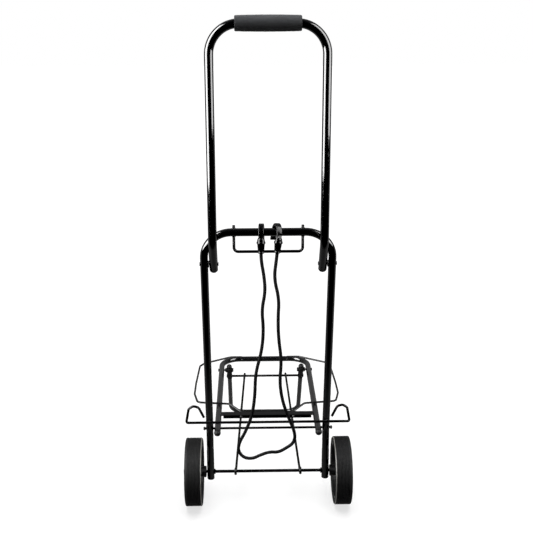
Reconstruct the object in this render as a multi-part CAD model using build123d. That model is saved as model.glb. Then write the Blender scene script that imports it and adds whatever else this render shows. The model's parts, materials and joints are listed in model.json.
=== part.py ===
from build123d import *
import math
import os

# Folding wheeled luggage trolley, millimetres.
# X runs left to right, Y from the user's side to the load's side, Z up.
# The model is laid out with Y = 0 on the wheel axle and Z = 0 on the floor, and every node is
# moved by ORIGIN_SHIFT at the end, so that the origin is the middle of the footprint.

# ---- driving dimensions: wheels and axle
WHEEL_R = 70.0
WHEEL_INNER_X = 136.5
WHEEL_WIDTH = 34.3
TYRE_INNER_R = 57.5
TREAD_RIB_PITCH = 3.4
TREAD_RIB_DEPTH = 0.7
TYRE_SHOULDER_R = 2.5
RIM_WALL = 3.5
HUB_R = 17.0
BOSS_R = 10.5
BOSS_INNER_X = 128.4
SPOKES = 5
SPOKE_WIDTH = 11.0
BUSH_R = 5.0
AXLE_R = 3.175
RUNNING_FIT = 0.08
GAP = 0.35

# ---- driving dimensions: main frame
FRAME_X = 119.5
FRAME_TUBE_R = 7.5
TUBE_WALL = 1.2
FRAME_FOOT_Z = 56.0
FOLD_Z = 169.4
FRAME_LEAN = math.radians(10.57)
CROSSBAR_Z = 607.4
FRAME_CORNER_R = 52.0
FRAME_BEND_R = 60.0
SLOT_TRAVEL = 47.78

# ---- driving dimensions: wires
WIRE_R = 2.4
HOOK_BAR_R = 2.3
HOOK_BAR_RISE = 19.8
WING_WIRE_R = 2.0
LINK_R = 2.15
BRACKET_X = 63.3
BRACKET_DROP = 37.0
BRACKET_RISE = 13.0

# ---- driving dimensions: handle
HANDLE_X = 102.0
HANDLE_TUBE_R = 8.0
HANDLE_Y = -99.2
HANDLE_BAR_Z = 977.5
HANDLE_CORNER_R = 52.0
HANDLE_BEND_Z = 592.0
HANDLE_BEND_R = 34.0
PIN_Z = 543.5
PIN_R = 2.5
PIN_HEAD_R = 3.6
TAIL_LENGTH = 13.5
GRIP_LENGTH = 115.0
GRIP_R = 14.3

# ---- driving dimensions: platform
PLATFORM_X = 103.3
PLATFORM_TUBE_R = 6.35
PLATFORM_NEAR_Y = -18.0
PLATFORM_FAR_Y = 366.0
PLATFORM_CORNER_R = 43.0
CHANNEL_Y = (50.0, 66.5)
CHANNEL_TOP = 4.5
CHANNEL_BOTTOM = -2.8
CHANNEL_SHEET = 1.4
CHANNEL_FLANGE_X = 97.4
CHANNEL_WEB_X = 93.0
PIVOT_ROD_X = 132.5

# ---- driving dimensions: foot and links
FOOT_PIVOT_Y = 299.7
FOOT_X = 85.1
FOOT_TUBE_R = 5.25
FOOT_REACH_Y = 412.2
FOOT_CORNER_R = 34.0
FOOT_HEAD = 14.0
FOOT_ROD_AT = 27.0
LINK_X_AXLE = 67.5
LINK_X_ROD = 49.0

# ---- driving dimensions: wings
WING_PIVOT_X = 55.0
WING_PIVOT_RISE = 1.0

# ---- driving dimensions: elastic cord
CORD_R = 3.0
CORD_HOOK_INNER_R = 10.2
CORD_HOOK_THICK = 4.5
CORD_HOOK_WIDTH = 8.5
CORD_HOOK_DROP = 37.0
CORD_HOOK_TIP = 17.0
HOOK_LIFT = 0.35
CORD_STRAIGHT = 14.0

PARTS = {}


def frame_y(z):
    """Y of the main frame's centre line at height z."""
    return -(z - FOLD_Z) * math.tan(FRAME_LEAN) if z > FOLD_Z else 0.0


CROSSBAR_Y = frame_y(CROSSBAR_Z)
PIN_Y = frame_y(PIN_Z)
FOOT_BAR_Z = FOOT_TUBE_R
REAR_Y = HANDLE_Y - GRIP_R
FRONT_Y = FOOT_REACH_Y + FOOT_TUBE_R
ORIGIN_SHIFT = -(REAR_Y + FRONT_Y) / 2


def keep(name, *solids):
    """Store a node: one solid, or a group of separate identical pieces."""
    PARTS[name] = list(solids)


def mirror_x(solid):
    """The same solid on the other side of the middle plane."""
    return mirror(solid, about=Plane.YZ)


def rod_x(radius, x0, x1, y, z):
    """Round bar along X from x0 to x1."""
    middle = Location(((x0 + x1) / 2, y, z), (0, 90, 0))
    return middle * Cylinder(radius, abs(x1 - x0))


def sweep_round(path, radius, bore=0.0):
    """Round section carried along a path, hollow when a bore is given."""
    start = Plane(origin=path @ 0, z_dir=path % 0)
    section = Circle(radius)
    if bore:
        section = section - Circle(bore)
    return sweep(start * section, path=path)


def bent(points, radii, radius, bore=0.0):
    """Tube or wire along a polyline whose corners are rounded."""
    return sweep_round(FilletPolyline(*points, radius=radii), radius, bore)


def bead(radius, origin, z_dir, length, nose):
    """Round plug from origin along z_dir whose far edge is rounded by nose."""
    body = Cylinder(radius, length, align=(Align.CENTER, Align.CENTER, Align.MIN))
    body = fillet(body.edges().sort_by(Axis.Z)[-1], nose)
    return Plane(origin=origin, z_dir=z_dir).location * body


# ---- main frame ----
def main_frame():
    foot = (FRAME_X, 0, FRAME_FOOT_Z)
    fold = (FRAME_X, 0, FOLD_Z)
    corner = (FRAME_X, CROSSBAR_Y, CROSSBAR_Z)
    points = [(-x, y, z) for x, y, z in (foot, fold, corner)] + [corner, fold, foot]
    radii = [FRAME_BEND_R, FRAME_CORNER_R, FRAME_CORNER_R, FRAME_BEND_R]
    tube = bent(points, radii, FRAME_TUBE_R, FRAME_TUBE_R - TUBE_WALL)
    tube -= rod_x(AXLE_R, -FRAME_X - 10, FRAME_X + 10, 0, WHEEL_R)
    tube -= rod_x(PIN_R, -FRAME_X - 10, FRAME_X + 10, PIN_Y, PIN_Z)
    slot_height = SLOT_TRAVEL + 2 * (WIRE_R + GAP)
    slot_z = FOLD_Z - SLOT_TRAVEL / 2
    slot = SlotOverall(slot_height, 2 * (WIRE_R + GAP))
    for side in (-1, 1):
        plane = Plane(origin=(side * FRAME_X, 0, slot_z), x_dir=(0, 0, 1), z_dir=(1, 0, 0))
        tube -= extrude(plane * slot, 12, both=True)
        tube -= Pos(side * BRACKET_X, CROSSBAR_Y, CROSSBAR_Z) * Cylinder(WIRE_R, 4 * FRAME_TUBE_R)
    keep("main_frame_tube", tube)
    bore = FRAME_TUBE_R - TUBE_WALL
    plug = Pos(FRAME_X, 0, FRAME_FOOT_Z - 2.5) * Cylinder(
        FRAME_TUBE_R, 2.5, align=(Align.CENTER, Align.CENTER, Align.MIN))
    plug = fillet(plug.edges().sort_by(Axis.Z)[0], 1.6)
    plug += Pos(FRAME_X, 0, FRAME_FOOT_Z) * Cylinder(
        bore, 8, align=(Align.CENTER, Align.CENTER, Align.MIN))
    keep("frame_end_plugs", plug, mirror_x(plug))


def cord_bracket():
    """Wire stirrup through the crossbar that keeps the cord's hooks together."""
    top = (BRACKET_X, CROSSBAR_Y, CROSSBAR_Z + BRACKET_RISE)
    low = (BRACKET_X, CROSSBAR_Y, CROSSBAR_Z - BRACKET_DROP)
    points = [(-x, y, z) for x, y, z in (top, low)] + [low, top]
    keep("cord_bracket", bent(points, 8.0, WIRE_R))


def hook_bar():
    """Wire across the rear of the frame whose ends rise and turn back as open hooks."""
    z = FOLD_Z + HOOK_BAR_RISE
    y = frame_y(z) - FRAME_TUBE_R - HOOK_BAR_R + 0.15
    end = [(166.5, 0.0), (161.0, 31.0), (152.0, 37.0), (141.0, 34.5), (130.5, 12.0)]
    right = [(x, y, z + rise) for x, rise in end]
    left = [(-x, yy, zz) for x, yy, zz in reversed(right)]
    radii = [9.5, 6.5, 6.5, 3.5]
    keep("hook_bar", bent(left + right, radii + radii[::-1], HOOK_BAR_R))


def axle():
    end = WHEEL_INNER_X + WHEEL_WIDTH + 3.0
    keep("axle", rod_x(AXLE_R, -end, end, 0, WHEEL_R))
    collar_x = FRAME_X - FRAME_TUBE_R
    collar = rod_x(5.5, collar_x - 2.4, collar_x, 0, WHEEL_R)
    collar -= rod_x(AXLE_R, collar_x - 9, collar_x + 9, 0, WHEEL_R)
    keep("axle_collars", collar, mirror_x(collar))
    cap_x = WHEEL_INNER_X + WHEEL_WIDTH - 3.0
    cap = rod_x(8.0, cap_x, end + 2.0, 0, WHEEL_R)
    cap = fillet(cap.edges().sort_by(Axis.X)[-1], 3.0)
    cap -= rod_x(AXLE_R, cap_x - 1, end, 0, WHEEL_R)
    keep("axle_caps", cap, mirror_x(cap))


def handle_pins():
    """Rivets in the frame's side tubes that the handle turns on, with a washer in each gap."""
    inner = HANDLE_X - HANDLE_TUBE_R
    outer = FRAME_X + FRAME_TUBE_R
    pin = rod_x(PIN_R, inner - 1.0, outer + 0.5, PIN_Y, PIN_Z)
    outer_head = rod_x(PIN_HEAD_R, outer + 0.05, outer + 1.4, PIN_Y, PIN_Z)
    inner_head = rod_x(PIN_HEAD_R, inner - 1.4, inner - 0.15, PIN_Y, PIN_Z)
    pin += fillet(outer_head.edges().sort_by(Axis.X)[-1], 1.0)
    pin += fillet(inner_head.edges().sort_by(Axis.X)[0], 1.0)
    keep("handle_pivot_rivets", pin, mirror_x(pin))
    gap_0 = HANDLE_X + HANDLE_TUBE_R + GAP
    gap_1 = FRAME_X - FRAME_TUBE_R - 0.02
    washer = rod_x(6.5, gap_0, gap_1, PIN_Y, PIN_Z) - rod_x(PIN_R, gap_0 - 1, gap_1 + 1, PIN_Y, PIN_Z)
    keep("handle_pivot_washers", washer, mirror_x(washer))


# ---- handle ----
def handle():
    tail_dir = (Vector(0, PIN_Y, PIN_Z) - Vector(0, HANDLE_Y, HANDLE_BEND_Z)).normalized()
    tail = Vector(HANDLE_X, PIN_Y, PIN_Z) + tail_dir * TAIL_LENGTH
    half = [(HANDLE_X, tail.Y, tail.Z), (HANDLE_X, HANDLE_Y, HANDLE_BEND_Z), (HANDLE_X, HANDLE_Y, HANDLE_BAR_Z)]
    points = [(-x, y, z) for x, y, z in half] + half[::-1]
    radii = [HANDLE_BEND_R, HANDLE_CORNER_R, HANDLE_CORNER_R, HANDLE_BEND_R]
    tube = bent(points, radii, HANDLE_TUBE_R, HANDLE_TUBE_R - TUBE_WALL)
    tube -= rod_x(PIN_R + RUNNING_FIT, -HANDLE_X - 12, HANDLE_X + 12, PIN_Y, PIN_Z)
    keep("handle_tube", tube)
    plug = bead(HANDLE_TUBE_R, (HANDLE_X, tail.Y, tail.Z), tail_dir, 5.0, 3.8)
    plug += bead(HANDLE_TUBE_R - TUBE_WALL, (HANDLE_X, tail.Y, tail.Z), -tail_dir, 10.0, 1.0)
    keep("handle_end_plugs", plug, mirror_x(plug))
    half_grip = GRIP_LENGTH / 2
    profile = make_face([
        Line((0, -half_grip), (GRIP_R - 0.9, -half_grip)),
        ThreePointArc((GRIP_R - 0.9, -half_grip), (GRIP_R, 0), (GRIP_R - 0.9, half_grip)),
        Line((GRIP_R - 0.9, half_grip), (0, half_grip)),
        Line((0, half_grip), (0, -half_grip)),
    ])
    grip = Location((0, HANDLE_Y, HANDLE_BAR_Z), (0, 0, 90)) * revolve(Plane.XY * profile, Axis.Y)
    keep("handle_grip", grip - bent(points, radii, HANDLE_TUBE_R))


# ---- wheels ----
def wheel(side):
    """Ribbed tyre, spoked rim moulded with its boss, and a bush for the axle."""
    name = "right" if side > 0 else "left"
    x0 = WHEEL_INNER_X
    x1 = WHEEL_INNER_X + WHEEL_WIDTH
    outline = Polyline(
        (x0, TYRE_INNER_R), (x0, WHEEL_R - 2), (x0 + 2, WHEEL_R), (x1 - TYRE_SHOULDER_R, WHEEL_R),
        (x1, WHEEL_R - TYRE_SHOULDER_R), (x1, TYRE_INNER_R), close=True)
    tyre = revolve(Plane.XY * make_face(outline), Axis.X)
    ribs = int((WHEEL_WIDTH - 8) / TREAD_RIB_PITCH)
    for i in range(ribs):
        at = x0 + 4.2 + i * TREAD_RIB_PITCH
        cutter = rod_x(WHEEL_R + 2, at, at + 1.0, 0, 0) - rod_x(WHEEL_R - TREAD_RIB_DEPTH, at - 1, at + 2, 0, 0)
        tyre -= cutter
    mid = (x0 + x1) / 2
    rim = rod_x(TYRE_INNER_R, x0 + 1.5, x1 - 1.5, 0, 0) - rod_x(TYRE_INNER_R - RIM_WALL, x0, x1, 0, 0)
    rim += rod_x(HUB_R, mid - 9, mid + 9, 0, 0)
    rim += rod_x(BOSS_R, BOSS_INNER_X, x1 - 4.0, 0, 0)
    for i in range(SPOKES):
        spoke = Pos(mid, 0, (TYRE_INNER_R + HUB_R) / 2 - 3) * Box(7.0, SPOKE_WIDTH, TYRE_INNER_R - HUB_R + 4)
        rim += Rot(i * 360 / SPOKES, 0, 0) * spoke
    rim -= rod_x(BUSH_R, BOSS_INNER_X - 5, x1 + 5, 0, 0)
    bush = rod_x(BUSH_R, BOSS_INNER_X, x1 - 4.0, 0, 0) - rod_x(AXLE_R + RUNNING_FIT, x0 - 20, x1 + 5, 0, 0)
    for part_name, solid in (("tyre", tyre), ("wheel_rim", rim), ("wheel_bush", bush)):
        placed = Pos(0, 0, WHEEL_R) * solid
        keep(f"{name}_{part_name}", placed if side > 0 else mirror_x(placed))


# ---- sliding pivot rod and platform ----
def pivot_rod():
    """Rod that carries the platform and slides down the frame's slots as it folds."""
    keep("pivot_rod", rod_x(WIRE_R, -PIVOT_ROD_X + 1.5, PIVOT_ROD_X - 1.5, 0, FOLD_Z))
    cap_x = FRAME_X + FRAME_TUBE_R + GAP
    cap = rod_x(3.6, PIVOT_ROD_X - 3.4, PIVOT_ROD_X, 0, FOLD_Z)
    cap = fillet(cap.edges().sort_by(Axis.X)[-1], 1.2) - rod_x(WIRE_R, cap_x, PIVOT_ROD_X - 1.5, 0, FOLD_Z)
    keep("pivot_rod_caps", cap, mirror_x(cap))


def platform():
    near = (PLATFORM_X, PLATFORM_NEAR_Y, FOLD_Z)
    far = (PLATFORM_X, PLATFORM_FAR_Y, FOLD_Z)
    points = [(-x, y, z) for x, y, z in (near, far)] + [far, near]
    tube = bent(points, PLATFORM_CORNER_R, PLATFORM_TUBE_R, PLATFORM_TUBE_R - TUBE_WALL)
    tube -= rod_x(WIRE_R + RUNNING_FIT, -PLATFORM_X - 9, PLATFORM_X + 9, 0, FOLD_Z)
    tube -= rod_x(WIRE_R, -PLATFORM_X - 9, PLATFORM_X + 9, FOOT_PIVOT_Y, FOLD_Z)
    pivot_z = FOLD_Z + WING_PIVOT_RISE
    for side in (-1, 1):
        hole = Cylinder(WING_WIRE_R + RUNNING_FIT, 24, rotation=(90, 0, 0))
        tube -= Pos(side * WING_PIVOT_X, PLATFORM_FAR_Y, pivot_z) * hole
    keep("platform_tube", tube)
    ball = Pos(PLATFORM_X, PLATFORM_NEAR_Y - 2.6, FOLD_Z) * Sphere(6.9)
    ball -= Pos(PLATFORM_X, PLATFORM_NEAR_Y + 10, FOLD_Z) * Box(20, 20, 20)
    ball += Location((PLATFORM_X, PLATFORM_NEAR_Y, FOLD_Z), (-90, 0, 0)) * Cylinder(
        PLATFORM_TUBE_R - TUBE_WALL, 9, align=(Align.CENTER, Align.CENTER, Align.MIN))
    keep("platform_end_caps", ball, mirror_x(ball))
    keep("platform_channel", channel(pivot_z))
    pin = rod_x(WIRE_R, FOOT_X - FOOT_TUBE_R - 2.0, PLATFORM_X + PLATFORM_TUBE_R + 1.8, FOOT_PIVOT_Y, FOLD_Z)
    keep("foot_pivot_pins", pin, mirror_x(pin))


def channel(pivot_z):
    """Pressed cross channel, open below, whose flange runs out to the platform's legs."""
    y0, y1 = CHANNEL_Y
    low = FOLD_Z + CHANNEL_BOTTOM
    top = FOLD_Z + CHANNEL_TOP
    inner_y = (y0 + CHANNEL_SHEET, y1 - CHANNEL_SHEET)
    section = Polyline(
        (y0, low), (y0, top), (y1, top), (y1, low), (inner_y[1], low),
        (inner_y[1], top - CHANNEL_SHEET), (inner_y[0], top - CHANNEL_SHEET), (inner_y[0], low), close=True)
    solid = extrude(Plane.YZ * make_face(section), CHANNEL_FLANGE_X, both=True)
    for side in (-1, 1):
        end = (CHANNEL_FLANGE_X + CHANNEL_WEB_X) / 2
        wide = CHANNEL_FLANGE_X - CHANNEL_WEB_X + 2
        notch = Box(wide, y1 - y0 + 2, top - CHANNEL_SHEET - low + 2)
        notch_z = top - CHANNEL_SHEET - (top - CHANNEL_SHEET - low + 2) / 2
        solid -= Pos(side * (end + 1), (y0 + y1) / 2, notch_z) * notch
        hole = Cylinder(WING_WIRE_R + RUNNING_FIT, 30, rotation=(90, 0, 0))
        solid -= Pos(side * WING_PIVOT_X, (y0 + y1) / 2, pivot_z) * hole
    legs = rod_y(PLATFORM_TUBE_R, y0 - 5, y1 + 5, PLATFORM_X, FOLD_Z)
    return solid - legs - mirror_x(legs)


def rod_y(radius, y0, y1, x, z):
    """Round bar along Y from y0 to y1."""
    return Location((x, (y0 + y1) / 2, z), (90, 0, 0)) * Cylinder(radius, abs(y1 - y0))


# ---- foot ----
FOOT_DIR = (Vector(0, FOOT_REACH_Y, FOOT_BAR_Z) - Vector(0, FOOT_PIVOT_Y, FOLD_Z)).normalized()
FOOT_ROD_Y = FOOT_PIVOT_Y + FOOT_DIR.Y * FOOT_ROD_AT
FOOT_ROD_Z = FOLD_Z + FOOT_DIR.Z * FOOT_ROD_AT


def foot():
    head = Vector(FOOT_X, FOOT_PIVOT_Y, FOLD_Z) - FOOT_DIR * FOOT_HEAD
    top = (FOOT_X, head.Y, head.Z)
    low = (FOOT_X, FOOT_REACH_Y, FOOT_BAR_Z)
    points = [(-x, y, z) for x, y, z in (top, low)] + [low, top]
    tube = bent(points, FOOT_CORNER_R, FOOT_TUBE_R, FOOT_TUBE_R - TUBE_WALL)
    tube -= rod_x(WIRE_R + RUNNING_FIT, -FOOT_X - 9, FOOT_X + 9, FOOT_PIVOT_Y, FOLD_Z)
    tube -= rod_x(WIRE_R, -FOOT_X - 9, FOOT_X + 9, FOOT_ROD_Y, FOOT_ROD_Z)
    keep("foot_tube", tube)
    cap = bead(FOOT_TUBE_R + 0.5, (FOOT_X, head.Y, head.Z), -FOOT_DIR, 5.0, 3.5)
    cap += bead(FOOT_TUBE_R - TUBE_WALL, (FOOT_X, head.Y, head.Z), FOOT_DIR, 6.0, 0.8)
    keep("foot_end_caps", cap, mirror_x(cap))
    end = FOOT_X + FOOT_TUBE_R + 1.6
    keep("foot_cross_rod", rod_x(WIRE_R, -end, end, FOOT_ROD_Y, FOOT_ROD_Z))


def link(side):
    """Wire stay: an eye round the axle, and an open hook over the foot's cross rod."""
    eye = Vector(side * LINK_X_AXLE, 0, WHEEL_R)
    rod = Vector(side * LINK_X_ROD, FOOT_ROD_Y, FOOT_ROD_Z)
    along = rod - eye
    length = along.length
    along = along.normalized()
    across = Vector(1, 0, 0)
    across = (across - along * across.dot(along)).normalized()
    plane = Plane(origin=eye, x_dir=along, z_dir=across)
    eye_r = AXLE_R + GAP + LINK_R
    hook_r = WIRE_R + GAP + LINK_R
    slope = math.asin((eye_r + hook_r) / length)
    tilt = math.degrees(slope)
    a = (eye_r * math.sin(slope), -eye_r * math.cos(slope))
    b = (length - hook_r * math.sin(slope), hook_r * math.cos(slope))
    path = Wire([
        CenterArc((0, 0), eye_r, -12, 282 + tilt).edge(),
        Line(a, b).edge(),
        CenterArc((length, 0), hook_r, 90 + tilt, -34).edge(),
    ])
    path = plane.location * path
    name = "right_link" if side > 0 else "left_link"
    keep(name, sweep_round(path, LINK_R))


# ---- wings ----
def wing(side):
    """Fold-out wire rail, hinged by its two ends in the channel and in the far crossbar."""
    rise = FOLD_Z + WING_PIVOT_RISE
    near_z = FOLD_Z + PLATFORM_TUBE_R + WING_WIRE_R + GAP + 0.2
    far_y = PLATFORM_FAR_Y + PLATFORM_TUBE_R + WING_WIRE_R + GAP + 1.6
    route = [
        (WING_PIVOT_X, CHANNEL_Y[0] - 3.0, rise),
        (WING_PIVOT_X, CHANNEL_Y[1] + 6.0, rise),
        (81.0, 96.0, near_z),
        (150.0, 105.5, near_z),
        (159.0, 150.0, near_z - 1.0),
        (159.5, 215.0, rise + 2.5),
        (156.0, 322.0, rise),
        (146.0, 338.5, rise),
        (84.0, far_y, rise),
        (WING_PIVOT_X, far_y, rise),
        (WING_PIVOT_X, PLATFORM_FAR_Y - PLATFORM_TUBE_R - 2.5, rise),
    ]
    radii = [5.0, 14.0, 12.0, 22.0, 30.0, 16.0, 16.0, 20.0, 2.6]
    solid = bent(route, radii, WING_WIRE_R)
    name = "right_wing" if side > 0 else "left_wing"
    keep(name, solid if side > 0 else mirror_x(solid))


# ---- elastic cord and its hooks ----
CORD_HOOK_ARC_R = CORD_HOOK_INNER_R + CORD_HOOK_THICK / 2


def hook_place(x, twist, swing):
    """Where a hook hangs: on the crossbar at x, twisted about Z and swung about Y."""
    lift = math.sin(math.radians(abs(swing))) * CORD_HOOK_WIDTH / 2 + HOOK_LIFT
    return Pos(x, CROSSBAR_Y, CROSSBAR_Z + lift) * Rot(0, swing, 0) * Rot(0, 0, twist)


LEFT_HOOK = hook_place(-12.8, -4.0, 0.0)
RIGHT_HOOK = hook_place(15.5, 20.0, 6.0)


def cord_exit(place, below=0.0):
    """Centre of a hook's socket mouth, or a point that far below it."""
    return (place * Pos(0, -CORD_HOOK_ARC_R, -CORD_HOOK_DROP - below)).position


# The cord's route between the hooks, chosen by hand: X, Y from the hooks' plane, Z.
CORD_Y = CROSSBAR_Y - CORD_HOOK_ARC_R
CORD_ROUTE = [
    (-8.5, -0.5, 528.0),
    (-6.0, -2.0, 497.0),
    (-13.0, -3.0, 462.0),
    (-9.5, -1.0, 422.0),
    (-13.0, 0.5, 378.0),
    (-25.5, -1.5, 333.0),
    (-26.5, -3.0, 288.0),
    (-32.5, -1.0, 243.0),
    (-46.5, 0.5, 207.0),
    (-57.0, 0.5, 188.0),
    (-61.0, 0.0, 169.5),
    (-50.5, -1.5, 154.3),
    (-32.5, -3.0, 152.0),
    (-16.0, -3.5, 161.0),
    (1.5, -2.5, 166.5),
    (18.5, -1.0, 164.5),
    (34.5, 1.0, 173.0),
    (48.5, 1.5, 183.0),
    (52.0, 0.5, 203.0),
    (39.5, -1.0, 236.0),
    (26.5, -3.0, 273.0),
    (20.5, -2.0, 314.0),
    (24.5, 0.0, 358.0),
    (18.5, 0.5, 403.0),
    (17.5, -1.5, 445.0),
    (19.5, -2.5, 483.0),
    (10.0, -1.0, 523.0),
]


def cord_points():
    hand = [Vector(x, CORD_Y + y, z) for x, y, z in CORD_ROUTE]
    start = [cord_exit(LEFT_HOOK), cord_exit(LEFT_HOOK, CORD_STRAIGHT)]
    end = [cord_exit(RIGHT_HOOK, CORD_STRAIGHT), cord_exit(RIGHT_HOOK)]
    return start + hand + end


def cord_radii(points):
    """Arc radius at each corner: 0.45 of the shorter run over the tangent of half the turn."""
    radii = []
    for a, b, c in zip(points, points[1:], points[2:]):
        run_in = b - a
        run_out = c - b
        turn = math.radians(run_in.get_angle(run_out))
        radii.append(0.45 * min(run_in.length, run_out.length) / math.tan(turn / 2))
    return radii


def elastic_cord():
    points = cord_points()
    radii = cord_radii(points)
    path = FilletPolyline(*points, radius=radii)
    solid = sweep_round(path, CORD_R)
    section = math.pi * CORD_R ** 2
    print("cord length", round(path.length, 1), "tightest radius", round(min(radii), 1))
    print("cord radii", [round(r) for r in radii])
    print("cord volume over section times length", round(solid.volume / (section * path.length), 4))
    print("cord ends", [tuple(round(v, 2) for v in p) for p in points[:2] + points[-2:]])
    keep("elastic_cord", solid)


def cord_hook(name, place):
    """Moulded hook: a flat J over the crossbar with a tapered, collared socket for the cord."""
    arc_z = FRAME_TUBE_R + GAP - CORD_HOOK_INNER_R
    path = Wire([
        Line((-CORD_HOOK_ARC_R, -14.0), (-CORD_HOOK_ARC_R, arc_z)).edge(),
        CenterArc((0, arc_z), CORD_HOOK_ARC_R, 180, -180).edge(),
        Line((CORD_HOOK_ARC_R, arc_z), (CORD_HOOK_ARC_R, arc_z - CORD_HOOK_TIP)).edge(),
    ])
    path = Plane.YZ.location * path
    start = Plane(origin=path @ 0, x_dir=(1, 0, 0), z_dir=path % 0)
    flat = fillet(Rectangle(CORD_HOOK_WIDTH, CORD_HOOK_THICK).vertices(), 1.2)
    jay = sweep(start * flat, path=path)
    outline = Polyline(
        (0, 0), (4.9, 0), (5.4, 0.8), (5.4, 2.4), (5.0, 3.2), (6.0, 17.0), (7.0, 18.5),
        (7.0, 21.0), (6.2, 22.5), (5.6, 26.5), (4.2, 29.0), (0, 29.0), close=True)
    socket = revolve(Plane.XZ * make_face(outline), Axis.Z)
    keep(name, place * (jay + Pos(0, -CORD_HOOK_ARC_R, -CORD_HOOK_DROP) * socket))


def build():
    main_frame()
    cord_bracket()
    hook_bar()
    axle()
    handle_pins()
    handle()
    pivot_rod()
    platform()
    foot()
    for side in (-1, 1):
        wheel(side)
        link(side)
        wing(side)
    elastic_cord()
    cord_hook("cord_hook_left", LEFT_HOOK)
    cord_hook("cord_hook_right", RIGHT_HOOK)


def export():
    os.makedirs("parts", exist_ok=True)
    for name, solids in PARTS.items():
        moved = [Pos(0, ORIGIN_SHIFT, 0) * solid for solid in solids]
        shape = moved[0] if len(moved) == 1 else Compound(children=moved)
        export_step(shape, f"parts/{name}.step")
    print(len(PARTS), "nodes")


build()
export()
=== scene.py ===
"""Looks of a folding wheeled luggage trolley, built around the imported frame. Lengths in metres."""

import json
import math

import bmesh
import bpy
from mathutils import Matrix, Vector, noise


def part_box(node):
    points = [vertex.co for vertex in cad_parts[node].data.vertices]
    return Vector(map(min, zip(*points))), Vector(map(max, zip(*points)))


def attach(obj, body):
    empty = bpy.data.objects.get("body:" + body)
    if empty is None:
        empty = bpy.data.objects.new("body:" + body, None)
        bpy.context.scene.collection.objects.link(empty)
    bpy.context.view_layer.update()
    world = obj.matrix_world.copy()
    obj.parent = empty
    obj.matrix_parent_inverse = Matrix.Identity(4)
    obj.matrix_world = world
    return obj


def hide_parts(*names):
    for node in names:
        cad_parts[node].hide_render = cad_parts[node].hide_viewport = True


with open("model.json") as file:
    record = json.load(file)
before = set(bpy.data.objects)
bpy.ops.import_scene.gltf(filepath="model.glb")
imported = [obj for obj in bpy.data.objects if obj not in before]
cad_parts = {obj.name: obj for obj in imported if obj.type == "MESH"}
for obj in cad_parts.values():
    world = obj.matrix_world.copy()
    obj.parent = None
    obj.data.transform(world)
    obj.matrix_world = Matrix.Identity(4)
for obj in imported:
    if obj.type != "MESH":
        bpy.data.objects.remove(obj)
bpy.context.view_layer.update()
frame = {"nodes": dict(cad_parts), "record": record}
NODES = frame["nodes"]
SIDES = (("left", -1.0), ("right", 1.0))

# ---- camera ----
CAMERA_PLACE = Vector((-0.0342, -1.8228, 1.0228))
CAMERA_PITCH = math.radians(16.85)
CAMERA_YAW = math.radians(1.106)
CAMERA_ROLL = math.radians(-0.154)
CAMERA_LENS = 60.51
SENSOR_WIDTH = 36.0

# ---- studio: the room that the gloss tubes reflect, the floor, and the lights ----
BLACK_POINT = 0.003
ROOM_EDGE = (-0.15, 0.35)
ROOM_DIM = 0.02
ROOM_BACK = 0.5
FLOOR_REACH = 12.0
FLOOR_WHITE = 1.14
FLOOR_GLOW = 0.62
FLOOR_FADE = (0.3, 0.9)
FLOOR_EDGE = (-0.55, -0.25)
FLOOR_SHINE = 0.32
FLOOR_DARK = 0.03
OVERHEAD_PLACE = (0.0, -0.3, 3.0)
OVERHEAD_SIZE = 2.4
OVERHEAD_POWER = 118.0
BOX_AWAY = 1.5
BOX_AIM_Y = -0.25
BOX_FRONT = 0.64
BOX_WIDTH = 1.3
BOX_LOW = {"left": 0.37, "right": 0.55}
BOX_TOP = 3.3
BOX_GLARE = {"left": 30.0, "right": 15.0}

# ---- meshes ----
SHARP_ANGLE = math.radians(38)
MERGE_DISTANCE = 0.00002

# ---- elastic cord: the CAD cord's route, whose points are written as (x, y from CORD_Y, z) ----
CORD_DIAMETER = 0.006
CORD_Y = -0.246125
CORD_FIRST = [(-0.01367, CORD_Y, 0.57075), (-0.01367, CORD_Y, 0.55675)]
CORD_LAST = [(0.0144, CORD_Y + 0.00072, 0.55703), (0.01587, CORD_Y + 0.00072, 0.57095)]
CORD_ROUTE = [
    (-0.0085, -0.0005, 0.528),
    (-0.006, -0.002, 0.497),
    (-0.013, -0.003, 0.462),
    (-0.0095, -0.001, 0.422),
    (-0.013, 0.0005, 0.378),
    (-0.0255, -0.0015, 0.333),
    (-0.0265, -0.003, 0.288),
    (-0.0325, -0.001, 0.243),
    (-0.0465, 0.0005, 0.207),
    (-0.057, 0.0005, 0.188),
    (-0.061, 0.0, 0.1695),
    (-0.0505, -0.0015, 0.1543),
    (-0.0325, -0.003, 0.152),
    (-0.016, -0.0035, 0.161),
    (0.0015, -0.0025, 0.1665),
    (0.0185, -0.001, 0.1645),
    (0.0345, 0.001, 0.173),
    (0.0485, 0.0015, 0.183),
    (0.052, 0.0005, 0.203),
    (0.0395, -0.001, 0.236),
    (0.0265, -0.003, 0.273),
    (0.0205, -0.002, 0.314),
    (0.0245, 0.0, 0.358),
    (0.0185, 0.0005, 0.403),
    (0.0175, -0.0015, 0.445),
    (0.0195, -0.0025, 0.483),
    (0.01, -0.001, 0.523),
]
CORD_RESOLUTION = 60
CORD_SEGMENTS = 20
CORD_SWELL = 0.00025
BRAID_CARRIERS = 8
BRAID_PITCH = 0.011
BRAID_HEIGHT = 0.00022

# ---- cord hooks: x, and the CAD hook's own twist about Z and swing about Y in degrees ----
HOOKS = {"cord_hook_left": (-0.0128, -4.0, 0.0), "cord_hook_right": (0.0155, 20.0, 6.0)}
HOOK_WIDEN = 1.18
HOOK_CROWN = 1.26
SOCKET_AXIS = -0.01245
SOCKET_TOP = -0.0155
SOCKET_WIDEN = 1.08

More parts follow.
